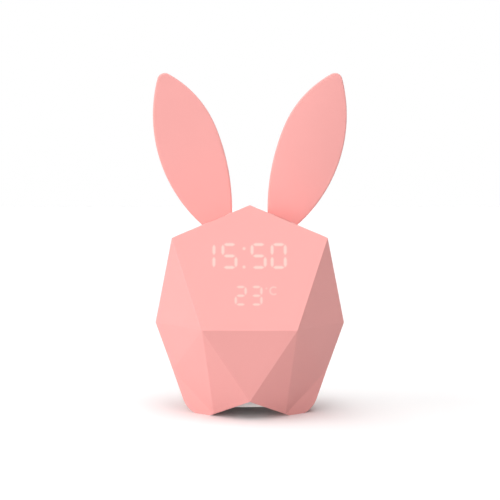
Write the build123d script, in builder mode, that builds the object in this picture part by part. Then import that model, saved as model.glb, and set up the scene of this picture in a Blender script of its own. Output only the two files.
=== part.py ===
from build123d import *
import os
from math import atan2, cos, degrees, radians, sin, tan

# A bedside alarm clock: a soft gem-cut skin with two tall ears over a hard inner shell.
# Millimetres. The display looks along -Y, +Z is up, and the origin is on the table under
# the middle of the body.

os.makedirs("parts", exist_ok=True)

# Cut body: corners of one quarter, which the other three mirror
waist_half_width = 50.0
waist_half_depth = 40.7
waist_height = 47.2
waist_edge_half_width = 23.7
shoulder_half_width = 39.4
shoulder_height = 92.9
roof_rise = 16.5
face_tilt = 15.0
belly_tilt = 16.0
arch_height = 10.5
heel_half_width = 18.6
heel_half_depth = 15.2
heel_height = 1.6
flank_height = 22.0
flank_half_depth = 0.6
foot_half_width = 32.9
foot_side_half_depth = 3.2
foot_round = 10.8

# Soft skin and the hard shell inside it
skin_wall = 2.5
fit_gap = 0.1
shell_wall = 2.0
shell_bottom = 5.6
shell_belly_share = 0.575
base_opening_half_width = 15.0
base_opening_half_depth = 14.0
base_opening_round = 4.0
cut_overrun = 20.0

# Ears: one flat plate each, drawn as seen from the front
ear_thickness = 5.5
ear_edge_round = 1.7
ear_root_outer = 25.8
ear_root_inner = 9.0
ear_bend_offset = 14.7
ear_bend_height = 143.4
ear_tip_offset = 46.8
ear_tip_height = 181.8
ear_outer_radius = 77.5
ear_inner_radius = 134.2
ear_tip_round = 4.6
ear_tab_width = 9.0
ear_tab_thickness = 3.2
ear_tab_length = 12.0
ear_slot_gap = 0.15

# Screws that hold the shell and the base together
join_upper_offset = 34.0
join_upper_height = 62.0
join_lower_offset = 26.0
join_lower_height = 24.0
join_boss_radius = 3.4
join_head_seat = 8.0
join_head_radius = 2.2
join_head_height = 1.8
join_shank_radius = 1.2
join_shank_bite = 9.0
screw_play = 0.1
head_play = 0.4

# Base plate
base_thickness = 2.5
base_screw_offset = 13.0
base_screw_depth_offset = 12.0
base_boss_radius = 3.0
base_boss_height = 8.0
base_rib_width = 2.0
base_head_radius = 1.8
base_head_height = 1.4
base_shank_radius = 0.9
base_shank_bite = 6.0
sound_slot_length = 17.0
sound_slot_width = 2.0
sound_slot_pitch = 4.0
sound_slot_count = 5

# Light-bar display on the front face: rows are measured up from its lower edge
time_row_drop = 9.3
time_digit_width = 6.6
time_digit_height = 11.8
time_bar = 1.45
hour_centre = -15.8
hour_pitch = 11.1
minute_centre = 9.5
minute_pitch = 10.1
colon_offset = -2.9
colon_upper_rise = 3.8
colon_lower_drop = 5.7
colon_radius = 0.9
temperature_row_share = 0.55
temperature_digit_width = 4.9
temperature_digit_height = 8.9
temperature_bar = 1.15
temperature_centre = -0.6
temperature_pitch = 7.9
degree_dot_offset = 8.3
degree_dot_rise = 3.7
degree_dot_radius = 0.6
degree_arc_offset = 12.0
degree_arc_rise = 2.5
degree_arc_radius = 1.9
degree_arc_width = 0.6
degree_arc_opening = 110.0
bar_joint_gap = 0.35
bar_play = 0.05
mask_depth = 5.0
mask_play = 0.15
mask_margin = 1.8
time_mask_half_width = 27.5
temperature_mask_half_width = 16.2
display_board_thickness = 1.6
display_board_lower_half_width = 25.5
display_board_upper_half_width = 30.0
display_tab_half_width = 4.0
display_tab_rise = 6.8
display_screw_offset = 22.0
display_screw_drop = 1.7
display_top_screw_rise = 3.6
display_boss_radius = 2.5
driver_length = 10.0
driver_width = 6.0
driver_height = 1.6
ribbon_socket_length = 14.0
ribbon_socket_width = 5.0
ribbon_socket_height = 2.2

# Small screws on both circuit boards
board_screw_head_radius = 1.7
board_screw_head_height = 1.2
board_screw_radius = 0.8
board_screw_bite = 2.4
board_hole_radius = 1.1

# Main board behind the back face: rows are measured up from that face's lower edge
main_board_standoff = 7.0
main_board_thickness = 1.6
main_board_half_width = 25.0
main_board_bottom_row = 4.0
main_board_top_drop = 1.3
main_board_corner_round = 2.0
main_screw_inset = 3.6
main_boss_radius = 2.5
controller_size = 9.0
memory_length = 6.0
memory_width = 4.9
chip_height = 1.3
chip_offset = 12.0
chip_gap = 1.5

# Four buttons in a row on the back
button_row_share = 0.58
button_pitch = 13.0
button_radius = 4.0
button_proud = 0.8
button_edge_chamfer = 0.5
button_gap = 0.4
button_flange_radius = 5.2
button_flange_height = 1.0
button_flange_gap = 0.2
button_post_radius = 1.6
switch_size = 6.0
switch_height = 3.6
switch_stem_radius = 1.25
switch_stem_rise = 0.9
switch_stem_sunk = 0.4
switch_stem_travel_room = 0.9
switch_stem_gap = 0.15

# Charging socket at the bottom of the back
port_row_share = 0.211
port_length = 13.0
port_height = 8.0
port_round = 2.2
pocket_depth = 4.0
pocket_wall = 1.6
socket_length = 9.0
socket_height = 3.3
socket_wall = 0.35
socket_play = 0.2
tongue_length = 6.6
tongue_height = 0.7
tongue_setback = 0.8

# Sensors
microphone_radius = 3.0
microphone_height = 5.2
microphone_drop = 4.6
microphone_hole_radius = 0.8
tap_sensor_radius = 1.6
tap_sensor_length = 8.0
tap_sensor_offset = 13.5
bead_radius = 1.3
bead_offset = 15.0
bead_leg_radius = 0.35
bead_leg_length = 7.0

# Speaker on the base plate
speaker_radius = 14.0
speaker_rim_width = 2.4
speaker_rim_height = 2.6
speaker_basket_height = 5.0
speaker_basket_radius = 8.6
speaker_basket_wall = 1.0
speaker_cap_radius = 4.0
speaker_cone_wall = 0.6
speaker_coil_radius = 4.6
speaker_magnet_radius = 7.6
speaker_magnet_height = 4.5

# Flat cell on the inner side of the main board
battery_width = 34.0
battery_length_share = 0.634
battery_bottom_margin = 11.5
battery_thickness = 8.0
battery_round = 2.0
pad_share = 0.75
pad_thickness = 0.8

# Plug sockets and leads inside
plug_length = 5.0
plug_width = 4.5
plug_height = 3.4
plug_offset = 12.5
plug_rise = 4.4
lead_radius = 0.8
lead_seat_gap = 0.1
ribbon_width = 12.0
ribbon_thickness = 0.3
ribbon_drop = 9.0
ribbon_sag_height = 37.0
battery_lead_drop = 14.0
bend_share = 0.45
speaker_lead_drop = 8.0

# Depths below the outer face, shared by both tilted faces
shell_outer = skin_wall + fit_gap
shell_inner = shell_outer + shell_wall
display_board_front = shell_outer + mask_depth
display_board_back = display_board_front + display_board_thickness
main_board_outer = shell_inner + main_board_standoff
main_board_inner = main_board_outer + main_board_thickness
pocket_floor = shell_outer + pocket_depth
pocket_end = pocket_floor + pocket_wall

ridge_height = shoulder_height + roof_rise

# Rows on the two tilted faces, from the lower edge of the face up to its shoulders
face_run = tan(radians(face_tilt))
shoulder_row = (shoulder_height - waist_height) / cos(radians(face_tilt))
time_row = shoulder_row - time_row_drop
temperature_row = temperature_row_share * (time_row - time_digit_height / 2)
main_board_top_row = shoulder_row - main_board_top_drop
button_row = button_row_share * shoulder_row
port_row = port_row_share * shoulder_row
plug_row = main_board_bottom_row + plug_rise
chip_row = button_row + (switch_size + controller_size) / 2 + chip_gap
microphone_row = main_board_top_row - microphone_drop
battery_bottom_row = main_board_bottom_row + battery_bottom_margin
battery_length = battery_length_share * shoulder_row
battery_row = battery_bottom_row + battery_length / 2

belly_run = tan(radians(belly_tilt))
arch_slope = (arch_height - heel_height) / heel_half_width
side_slope = (waist_half_width - foot_half_width) / waist_height
roof_slope = (ridge_height - shoulder_height) / shoulder_half_width
foot_corner_height = (arch_height - arch_slope * foot_half_width) / (1 + arch_slope * side_slope)
foot_corner_half_width = foot_half_width + side_slope * foot_corner_height

body_middle = Vector(0, 0, waist_height)
apex = Vector(0, (ridge_height - waist_height) * face_run - waist_half_depth, ridge_height)
shoulder = Vector(
    -shoulder_half_width,
    (shoulder_height - waist_height) * face_run - waist_half_depth,
    shoulder_height,
)
front_corner = Vector(-waist_edge_half_width, -waist_half_depth, waist_height)
side_corner = Vector(-waist_half_width, 0, waist_height)
arch_corner = Vector(0, (waist_height - arch_height) * belly_run - waist_half_depth, arch_height)
heel = Vector(-heel_half_width, -heel_half_depth, heel_height)
flank = Vector(-foot_half_width - side_slope * flank_height, -flank_half_depth, flank_height)
foot_side = Vector(-foot_half_width, -foot_side_half_depth, 0)
shell_belly = Vector(0, -shell_belly_share * waist_half_depth, shell_bottom)

front_face = Plane(
    origin=(0, -waist_half_depth, waist_height),
    x_dir=(1, 0, 0),
    z_dir=(0, -cos(radians(face_tilt)), sin(radians(face_tilt))),
)
back_face = Plane(
    origin=(0, waist_half_depth, waist_height),
    x_dir=(-1, 0, 0),
    z_dir=(0, cos(radians(face_tilt)), sin(radians(face_tilt))),
)


def mirrored(point, side, face):
    """The same corner on the other side or on the other face of the body."""
    return Vector(point.X * side, point.Y * face, point.Z)


def facet(corners, side, face):
    """Plane of one cut facet, facing away from the middle of the body."""
    a, b, c = [mirrored(corner, side, face) for corner in corners]
    normal = (b - a).cross(c - a)
    if normal.dot(a - body_middle) < 0:
        normal = normal * -1
    return Plane(origin=a, z_dir=normal)


def facet_planes():
    """All facets that are not square to the front outline."""
    planes = []
    for face in (1, -1):
        planes.append(facet((front_corner, shoulder, apex), 1, face))
        planes.append(facet((front_corner, mirrored(front_corner, -1, 1), arch_corner), 1, face))
        for side in (1, -1):
            planes.append(facet((shoulder, front_corner, side_corner), side, face))
            planes.append(facet((front_corner, arch_corner, heel), side, face))
            planes.append(facet((front_corner, heel, flank), side, face))
            planes.append(facet((front_corner, flank, side_corner), side, face))
    return planes


def shell_planes():
    """Facets of the hard shell, whose two bellies lean back further to end in a straight edge."""
    bellies = [
        facet((front_corner, mirrored(front_corner, -1, 1), shell_belly), 1, face) for face in (1, -1)
    ]
    return facet_planes() + bellies


def gem(planes, inset, bottom):
    """The cut body drawn in by inset on every face, with a level underside at bottom."""
    with BuildPart() as block:
        with BuildSketch(Plane.XZ):
            with BuildLine():
                Polyline(
                    (0, ridge_height),
                    (shoulder_half_width, shoulder_height),
                    (waist_half_width, waist_height),
                    (foot_half_width, 0),
                    (-foot_half_width, 0),
                    (-waist_half_width, waist_height),
                    (-shoulder_half_width, shoulder_height),
                    close=True,
                )
            make_face()
            offset(amount=-inset, kind=Kind.INTERSECTION)
        extrude(amount=waist_half_depth, both=True)
        for plane in planes:
            split(bisect_by=plane.offset(-inset), keep=Keep.BOTTOM)
        split(bisect_by=Plane.XY.offset(bottom), keep=Keep.TOP)
    return block.part


def roof_height(offset_from_middle):
    """Height of the roof at a distance from the ridge."""
    return ridge_height - roof_slope * offset_from_middle


def level(offset_x, offset_y, height):
    """A point in the clock's own frame."""
    return Vector(offset_x, offset_y, height)


def spot(face, across, row, depth):
    """A point below one of the tilted faces."""
    return face.from_local_coords(Vector(across, row, -depth))


def finish(part, name):
    """Name one piece and write it."""
    part.label = name
    export_step(part, f"parts/{name}.step")


# Places that several pieces share
join_points = [
    (side * across, height)
    for side in (1, -1)
    for across, height in (
        (join_upper_offset, join_upper_height),
        (join_lower_offset, join_lower_height),
    )
]
base_points = [
    (side * base_screw_offset, face * base_screw_depth_offset) for side in (1, -1) for face in (1, -1)
]
button_names = ("mode", "alarm", "down", "up")
button_places = [
    ((index - (len(button_names) - 1) / 2) * button_pitch, button_row)
    for index in range(len(button_names))
]
time_mask_top = time_row + (time_digit_height + time_bar) / 2 + mask_margin
time_mask_bottom = time_row - (time_digit_height + time_bar) / 2 - mask_margin
mask_bottom = temperature_row - (temperature_digit_height + temperature_bar) / 2 - mask_margin
display_points = [
    (-display_screw_offset, temperature_row - display_screw_drop),
    (display_screw_offset, temperature_row - display_screw_drop),
    (0, time_mask_top + display_top_screw_rise),
]
main_board_middle_row = (main_board_bottom_row + main_board_top_row) / 2
main_board_rise = main_board_top_row - main_board_bottom_row
main_points = [
    (side * (main_board_half_width - main_screw_inset), row)
    for side in (1, -1)
    for row in (main_board_bottom_row + main_screw_inset, main_board_top_row - main_screw_inset)
]
ear_root_middle = (ear_root_outer + ear_root_inner) / 2
ear_slot_bottom = roof_height(ear_root_middle) - ear_tab_length
base_top = shell_bottom + base_thickness


# One foot: a rounded block that swells out of the cut body below the flank
with BuildPart() as foot:
    with BuildSketch(Plane.XZ) as foot_front:
        with BuildLine():
            Polyline(
                (flank.X, flank.Z),
                (heel.X, flank.Z),
                (heel.X, heel.Z),
                (-foot_corner_half_width, foot_corner_height),
                close=True,
            )
        make_face()
        fillet(foot_front.vertices().sort_by(Axis.Y)[0], foot_round)
    extrude(amount=waist_half_depth, both=True)
    for foot_face in (1, -1):
        split(bisect_by=facet((flank, heel, foot_side), 1, foot_face), keep=Keep.BOTTOM)

# Soft outer skin: a cut block on two feet, hollow inside, with slots for the ears
with BuildPart() as outer_skin:
    with BuildSketch(Plane.XZ) as skin_front:
        with BuildLine():
            Polyline(
                (0, ridge_height),
                (shoulder_half_width, shoulder_height),
                (waist_half_width, waist_height),
                (foot_corner_half_width, foot_corner_height),
                (0, arch_height),
                (-foot_corner_half_width, foot_corner_height),
                (-waist_half_width, waist_height),
                (-shoulder_half_width, shoulder_height),
                close=True,
            )
        make_face()
        fillet(skin_front.vertices().group_by(Axis.Y)[0], foot_round)
    extrude(amount=waist_half_depth, both=True)
    for facet_plane in facet_planes():
        split(bisect_by=facet_plane, keep=Keep.BOTTOM)
    add(foot.part)
    add(mirror(foot.part, about=Plane.YZ, mode=Mode.PRIVATE))
    split(bisect_by=Plane.XY, keep=Keep.TOP)
    add(gem(facet_planes(), skin_wall, shell_bottom), mode=Mode.SUBTRACT)
    with BuildSketch(Plane.XY):
        RectangleRounded(2 * base_opening_half_width, 2 * base_opening_half_depth, base_opening_round)
    extrude(amount=shell_bottom + cut_overrun, mode=Mode.SUBTRACT)
    with BuildSketch(Plane.XY.offset(ear_slot_bottom)):
        with Locations((ear_root_middle, 0), (-ear_root_middle, 0)):
            Rectangle(ear_tab_width + 2 * ear_slot_gap, ear_tab_thickness + 2 * ear_slot_gap)
    extrude(amount=cut_overrun, mode=Mode.SUBTRACT)
    with BuildSketch(back_face.offset(-shell_outer)):
        with Locations(*button_places):
            Circle(button_radius + button_gap)
        with Locations((0, port_row)):
            RectangleRounded(port_length, port_height, port_round)
        with Locations((0, microphone_row)):
            Circle(microphone_hole_radius)
    extrude(amount=cut_overrun, mode=Mode.SUBTRACT)
finish(outer_skin.part, "outer_skin")


# Ears: a curved plate with soft edges, and a tab that goes through the roof
with BuildPart() as ear_left:
    with BuildSketch(Plane.XZ) as ear_outline:
        with BuildLine():
            root_inner = (-ear_root_inner, roof_height(ear_root_inner) + fit_gap)
            root_outer = (-ear_root_outer, roof_height(ear_root_outer) + fit_gap)
            bend = (-ear_bend_offset, ear_bend_height)
            tip = (-ear_tip_offset, ear_tip_height)
            lower_inner = RadiusArc(root_inner, bend, -ear_inner_radius)
            TangentArc(bend, tip, tangent=lower_inner % 1)
            RadiusArc(tip, root_outer, -ear_outer_radius)
            Line(root_outer, root_inner)
        make_face()
        fillet(ear_outline.vertices().sort_by(Axis.Y)[-1], ear_tip_round)
    extrude(amount=ear_thickness / 2, both=True)
    rims = ear_left.faces().filter_by(Axis.Y).edges()
    root_edges = ear_left.faces().filter_by(Plane.XZ, reverse=True).sort_by(Axis.Z)[0].edges()
    fillet([edge for edge in rims if edge not in root_edges], ear_edge_round)
    with BuildSketch(Plane.XZ):
        with Locations((-ear_root_middle, roof_height(ear_root_middle))):
            Rectangle(ear_tab_width, 2 * ear_tab_length)
    extrude(amount=ear_tab_thickness / 2, both=True)
finish(ear_left.part, "ear_left")

with BuildPart() as ear_right:
    mirror(ear_left.part, about=Plane.YZ)
finish(ear_right.part, "ear_right")


def shell_walls():
    """The hard shell as one hollow body, open underneath."""
    with BuildPart() as walls:
        add(gem(shell_planes(), shell_outer, shell_bottom))
        add(gem(shell_planes(), shell_inner, shell_bottom), mode=Mode.SUBTRACT)
    return walls.part


def board_bosses(face_plane, points, radius, top):
    """Round bosses that stand on the inside of a tilted wall, with a hole for a screw in each."""
    with BuildPart() as bosses:
        with BuildSketch(face_plane.offset(-top)):
            with Locations(*points):
                Circle(radius)
                Circle(board_screw_radius + screw_play, mode=Mode.SUBTRACT)
        extrude(amount=top - shell_outer - shell_wall / 2)
    return bosses.part


def shell_half(keep):
    """Walls of one half with the bosses that join it to the other half and to the base."""
    with BuildPart() as half:
        with BuildSketch(Plane.XZ):
            with Locations(*join_points):
                Circle(join_boss_radius)
        extrude(amount=waist_half_depth, both=True)
        with BuildSketch(Plane.XY.offset(base_top + fit_gap)):
            with Locations(*base_points):
                Circle(base_boss_radius)
            for across, along in base_points:
                with Locations(Location((across, along, 0), (0, 0, degrees(atan2(along, across))))):
                    Rectangle(cut_overrun, base_rib_width, align=(Align.MIN, Align.CENTER))
        extrude(amount=base_boss_height)
        add(gem(shell_planes(), shell_outer + shell_wall / 2, shell_bottom), mode=Mode.INTERSECT)
        add(shell_walls())
        with BuildSketch(Plane.XY.offset(base_top)):
            with Locations(*base_points):
                Circle(base_shank_radius + screw_play)
        extrude(amount=base_shank_bite + screw_play, mode=Mode.SUBTRACT)
        with BuildSketch(Plane.XY.offset(ear_slot_bottom)):
            with Locations((ear_root_middle, 0), (-ear_root_middle, 0)):
                Rectangle(ear_tab_width + 2 * ear_slot_gap, ear_tab_thickness + 2 * ear_slot_gap)
        extrude(amount=cut_overrun, mode=Mode.SUBTRACT)
        split(bisect_by=Plane.XZ, keep=keep)
    return half.part


def mask_outline(margin):
    """T-shaped outline of the display block: a wide row of time digits over a narrow one."""
    time_rise = time_mask_top - time_mask_bottom
    with Locations((0, (time_mask_top + time_mask_bottom) / 2)):
        Rectangle(2 * (time_mask_half_width + margin), time_rise + 2 * margin)
    with Locations((0, (time_mask_bottom + mask_bottom) / 2)):
        Rectangle(2 * (temperature_mask_half_width + margin), time_mask_bottom - mask_bottom + 2 * margin)


# Front half of the shell: a window for the display and three bosses for its board
with BuildPart() as shell_front:
    add(shell_half(Keep.TOP))
    add(board_bosses(front_face, display_points, display_boss_radius, display_board_front))
    with BuildSketch(front_face.offset(-display_board_front)):
        mask_outline(mask_play)
    extrude(amount=mask_depth + cut_overrun, mode=Mode.SUBTRACT)
    with BuildSketch(Plane.XZ):
        with Locations(*join_points):
            Circle(join_shank_radius + screw_play)
    extrude(amount=join_shank_bite + screw_play, mode=Mode.SUBTRACT)
finish(shell_front.part, "shell_front")

# Rear half: button holes, a pocket for the charging plug and four bosses for the main board
with BuildPart() as shell_rear:
    add(shell_half(Keep.BOTTOM))
    add(board_bosses(back_face, main_points, main_boss_radius, main_board_outer))
    with BuildSketch(back_face.offset(-pocket_end)):
        with Locations((0, port_row)):
            RectangleRounded(
                port_length + 2 * pocket_wall, port_height + 2 * pocket_wall, port_round + pocket_wall
            )
    extrude(amount=pocket_end - shell_outer - shell_wall / 2)
    with BuildSketch(back_face.offset(-pocket_floor)):
        with Locations((0, port_row)):
            RectangleRounded(port_length, port_height, port_round)
    extrude(amount=pocket_depth + cut_overrun, mode=Mode.SUBTRACT)
    with BuildSketch(back_face.offset(-pocket_end)):
        with Locations((0, port_row)):
            SlotOverall(socket_length + 2 * socket_play, socket_height + 2 * socket_play)
    extrude(amount=pocket_wall, mode=Mode.SUBTRACT)
    with BuildSketch(back_face.offset(-shell_inner)):
        with Locations(*button_places):
            Circle(button_radius + button_gap)
        with Locations((0, microphone_row)):
            Circle(microphone_hole_radius)
    extrude(amount=shell_wall + cut_overrun, mode=Mode.SUBTRACT)
    with BuildSketch(Plane.XZ):
        with Locations(*join_points):
            Circle(join_shank_radius + screw_play)
    extrude(amount=-join_head_seat, mode=Mode.SUBTRACT)
    with BuildSketch(Plane.XZ.offset(-join_head_seat)):
        with Locations(*join_points):
            Circle(join_head_radius + head_play)
    extrude(amount=-waist_half_depth, mode=Mode.SUBTRACT)
finish(shell_rear.part, "shell_rear")

# Four screws that pull the halves together, with their heads deep in the rear bosses
with BuildPart() as shell_screws:
    with BuildSketch(Plane.XZ.offset(-join_head_seat)):
        with Locations(*join_points):
            Circle(join_head_radius)
    extrude(amount=-join_head_height)
    with BuildSketch(Plane.XZ.offset(-join_head_seat)):
        with Locations(*join_points):
            Circle(join_shank_radius)
    extrude(amount=join_head_seat + join_shank_bite)
finish(shell_screws.part, "shell_screws")

# Base plate between the walls, with sound slots and sunk screw heads
with BuildPart() as base_plate:
    add(gem(shell_planes(), shell_inner + fit_gap, shell_bottom))
    split(bisect_by=Plane.XY.offset(base_top), keep=Keep.BOTTOM)
    with BuildSketch(Plane.XY.offset(shell_bottom)):
        with GridLocations(0, sound_slot_pitch, 1, sound_slot_count):
            SlotOverall(sound_slot_length, sound_slot_width)
        with Locations(*base_points):
            Circle(base_shank_radius + screw_play)
    extrude(amount=base_thickness, mode=Mode.SUBTRACT)
    with BuildSketch(Plane.XY.offset(shell_bottom)):
        with Locations(*base_points):
            Circle(base_head_radius + screw_play)
    extrude(amount=base_head_height, mode=Mode.SUBTRACT)
finish(base_plate.part, "base_plate")

with BuildPart() as base_screws:
    with BuildSketch(Plane.XY.offset(shell_bottom)):
        with Locations(*base_points):
            Circle(base_head_radius)
    extrude(amount=base_head_height)
    with BuildSketch(Plane.XY.offset(shell_bottom + base_head_height)):
        with Locations(*base_points):
            Circle(base_shank_radius)
    extrude(amount=base_thickness - base_head_height + base_shank_bite)
finish(base_screws.part, "base_screws")


def bar(length, thickness, turn):
    """One light bar with pointed ends."""
    half = length / 2
    shoulder_at = half - thickness / 2
    Polygon(
        (-half, 0),
        (-shoulder_at, -thickness / 2),
        (shoulder_at, -thickness / 2),
        (half, 0),
        (shoulder_at, thickness / 2),
        (-shoulder_at, thickness / 2),
        rotation=turn,
    )


def digit_bars(centres, row, width, height, thickness, play):
    """Seven bars for each digit of a row."""
    for centre in centres:
        for step in (-1, 0, 1):
            with Locations((centre, row + step * height / 2)):
                bar(width - bar_joint_gap + 2 * play, thickness + 2 * play, 0)
        for side in (-1, 1):
            for step in (-1, 1):
                with Locations((centre + side * width / 2, row + step * height / 4)):
                    bar(height / 2 - bar_joint_gap + 2 * play, thickness + 2 * play, 90)


def time_digits(play):
    """Hours and minutes."""
    centres = [
        middle + side * pitch / 2
        for middle, pitch in ((hour_centre, hour_pitch), (minute_centre, minute_pitch))
        for side in (-1, 1)
    ]
    digit_bars(centres, time_row, time_digit_width, time_digit_height, time_bar, play)


def colon(play):
    """Two round dots between hours and minutes."""
    with Locations(
        (colon_offset, time_row + colon_upper_rise), (colon_offset, time_row - colon_lower_drop)
    ):
        Circle(colon_radius + play)


def temperature_digits(play):
    """Two smaller digits below the time."""
    centres = [temperature_centre + side * temperature_pitch / 2 for side in (-1, 1)]
    digit_bars(
        centres,
        temperature_row,
        temperature_digit_width,
        temperature_digit_height,
        temperature_bar,
        play,
    )


def degree_sign(play):
    """A dot and an open ring after the temperature."""
    with Locations((degree_dot_offset, temperature_row + degree_dot_rise)):
        Circle(degree_dot_radius + play)
    with BuildLine(mode=Mode.PRIVATE) as ring:
        CenterArc(
            (degree_arc_offset, temperature_row + degree_arc_rise),
            degree_arc_radius,
            degree_arc_opening / 2,
            360 - degree_arc_opening,
        )
    trace(ring.line, line_width=degree_arc_width + 2 * play)


# Dark block that keeps the light of each bar apart
with BuildPart() as display_mask:
    with BuildSketch(front_face.offset(-display_board_front)):
        mask_outline(0)
        with BuildSketch(mode=Mode.SUBTRACT):
            time_digits(bar_play)
            colon(bar_play)
            temperature_digits(bar_play)
            degree_sign(bar_play)
    extrude(amount=mask_depth)
finish(display_mask.part, "display_mask")

# Light bars that fill the openings of the block, from the board up to the skin
for bars_name, draw_bars in (
    ("time_bars", time_digits),
    ("colon_dots", colon),
    ("temperature_bars", temperature_digits),
    ("degree_sign", degree_sign),
):
    with BuildPart() as light_bars:
        with BuildSketch(front_face.offset(-display_board_front)):
            draw_bars(0)
        extrude(amount=mask_depth)
    finish(light_bars.part, bars_name)

# Display board behind the block, with a tab at the top for the third screw
with BuildPart() as display_board:
    with BuildSketch(front_face.offset(-display_board_back)):
        with BuildLine():
            Polyline(
                (-display_board_lower_half_width, mask_bottom),
                (display_board_lower_half_width, mask_bottom),
                (display_board_upper_half_width, time_mask_top),
                (display_tab_half_width, time_mask_top),
                (display_tab_half_width, time_mask_top + display_tab_rise),
                (-display_tab_half_width, time_mask_top + display_tab_rise),
                (-display_tab_half_width, time_mask_top),
                (-display_board_upper_half_width, time_mask_top),
                close=True,
            )
        make_face()
        with Locations(*display_points):
            Circle(board_hole_radius, mode=Mode.SUBTRACT)
    extrude(amount=display_board_thickness)
finish(display_board.part, "display_board")


def board_screws(face_plane, points, seat, board_thickness):
    """Screws through a board into the bosses of the wall in front of it."""
    with BuildPart() as screws:
        with BuildSketch(face_plane.offset(-seat)):
            with Locations(*points):
                Circle(board_screw_head_radius)
        extrude(amount=-board_screw_head_height)
        with BuildSketch(face_plane.offset(-seat)):
            with Locations(*points):
                Circle(board_screw_radius)
        extrude(amount=board_thickness + board_screw_bite)
    return screws.part


finish(
    board_screws(front_face, display_points, display_board_back, display_board_thickness),
    "display_screws",
)

# Driver chips and the ribbon socket on the inner side of the display board
with BuildPart() as display_drivers:
    with BuildSketch(front_face.offset(-display_board_back)):
        with Locations((hour_centre, time_row), (minute_centre, time_row)):
            Rectangle(driver_length, driver_width)
    extrude(amount=-driver_height)
finish(display_drivers.part, "display_drivers")

with BuildPart() as display_socket:
    with BuildSketch(front_face.offset(-display_board_back)):
        with Locations((0, temperature_row)):
            Rectangle(ribbon_socket_length, ribbon_socket_width)
    extrude(amount=-ribbon_socket_height)
finish(display_socket.part, "display_socket")

# Main board on its four bosses
with BuildPart() as main_board:
    with BuildSketch(back_face.offset(-main_board_inner)):
        with Locations((0, main_board_middle_row)):
            RectangleRounded(2 * main_board_half_width, main_board_rise, main_board_corner_round)
        with Locations(*main_points):
            Circle(board_hole_radius, mode=Mode.SUBTRACT)
    extrude(amount=main_board_thickness)
finish(main_board.part, "main_board")

finish(
    board_screws(back_face, main_points, main_board_inner, main_board_thickness),
    "main_board_screws",
)

with BuildPart() as main_chips:
    with BuildSketch(back_face.offset(-main_board_outer)):
        with Locations((chip_offset, chip_row)):
            Rectangle(controller_size, controller_size)
        with Locations((-chip_offset, chip_row)):
            Rectangle(memory_length, memory_width)
    extrude(amount=chip_height)
finish(main_chips.part, "main_chips")

with BuildPart() as main_sockets:
    with BuildSketch(back_face.offset(-main_board_inner)):
        with Locations((0, plug_row)):
            Rectangle(ribbon_socket_length, ribbon_socket_width)
    extrude(amount=-ribbon_socket_height)
    with BuildSketch(back_face.offset(-main_board_inner)):
        with Locations((plug_offset, plug_row), (-plug_offset, plug_row)):
            Rectangle(plug_length, plug_width)
    extrude(amount=-plug_height)
finish(main_sockets.part, "main_sockets")

# Push switches on the main board, one under each button
switch_top = main_board_outer - switch_height
stem_top = switch_top - switch_stem_rise
with BuildPart() as switch_bodies:
    with BuildSketch(back_face.offset(-main_board_outer)):
        with Locations(*button_places):
            Rectangle(switch_size, switch_size)
    extrude(amount=switch_height)
    with BuildSketch(back_face.offset(-switch_top)):
        with Locations(*button_places):
            Circle(switch_stem_radius + switch_stem_gap)
    extrude(amount=-switch_stem_sunk - switch_stem_travel_room, mode=Mode.SUBTRACT)
finish(switch_bodies.part, "switch_bodies")

# Buttons: a cap through both walls, a flange that stops it inside and a post on the switch
flange_top = shell_inner + button_flange_gap
for button_name, button_place in zip(button_names, button_places):
    with BuildPart() as button:
        with BuildSketch(back_face.offset(-flange_top)):
            with Locations(button_place):
                Circle(button_radius)
        extrude(amount=flange_top + button_proud)
        chamfer(button.edges().sort_by(Axis(back_face.origin, back_face.z_dir))[-1], button_edge_chamfer)
        with BuildSketch(back_face.offset(-flange_top)):
            with Locations(button_place):
                Circle(button_flange_radius)
        extrude(amount=-button_flange_height)
        with BuildSketch(back_face.offset(-stem_top)):
            with Locations(button_place):
                Circle(button_post_radius)
        extrude(amount=stem_top - flange_top)
    finish(button.part, f"{button_name}_button")

    with BuildPart() as stem:
        with BuildSketch(back_face.offset(-stem_top)):
            with Locations(button_place):
                Circle(switch_stem_radius)
        extrude(amount=-switch_stem_rise - switch_stem_sunk)
    finish(stem.part, f"{button_name}_switch_stem")

# Charging socket: a metal sleeve from the main board up to the floor of the pocket
with BuildPart() as charging_socket:
    with BuildSketch(back_face.offset(-main_board_outer)):
        with Locations((0, port_row)):
            SlotOverall(socket_length, socket_height)
    extrude(amount=main_board_outer - pocket_floor)
    with BuildSketch(back_face.offset(-main_board_outer + socket_wall)):
        with Locations((0, port_row)):
            SlotOverall(socket_length - 2 * socket_wall, socket_height - 2 * socket_wall)
    extrude(amount=main_board_outer, mode=Mode.SUBTRACT)
finish(charging_socket.part, "charging_socket")

with BuildPart() as charging_tongue:
    with BuildSketch(back_face.offset(-main_board_outer + socket_wall)):
        with Locations((0, port_row)):
            Rectangle(tongue_length, tongue_height)
    extrude(amount=main_board_outer - socket_wall - pocket_floor - tongue_setback)
finish(charging_tongue.part, "charging_tongue")

# Sensors on the outer side of the main board
with BuildPart() as microphone:
    with BuildSketch(back_face.offset(-main_board_outer)):
        with Locations((0, microphone_row)):
            Circle(microphone_radius)
    extrude(amount=microphone_height)
finish(microphone.part, "microphone")

with BuildPart() as tap_sensor:
    with BuildSketch(
        Plane(
            origin=spot(back_face, tap_sensor_offset, port_row, main_board_outer - tap_sensor_radius),
            x_dir=back_face.z_dir,
            z_dir=back_face.x_dir,
        )
    ):
        Circle(tap_sensor_radius)
    extrude(amount=tap_sensor_length / 2, both=True)
finish(tap_sensor.part, "tap_sensor")

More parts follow.
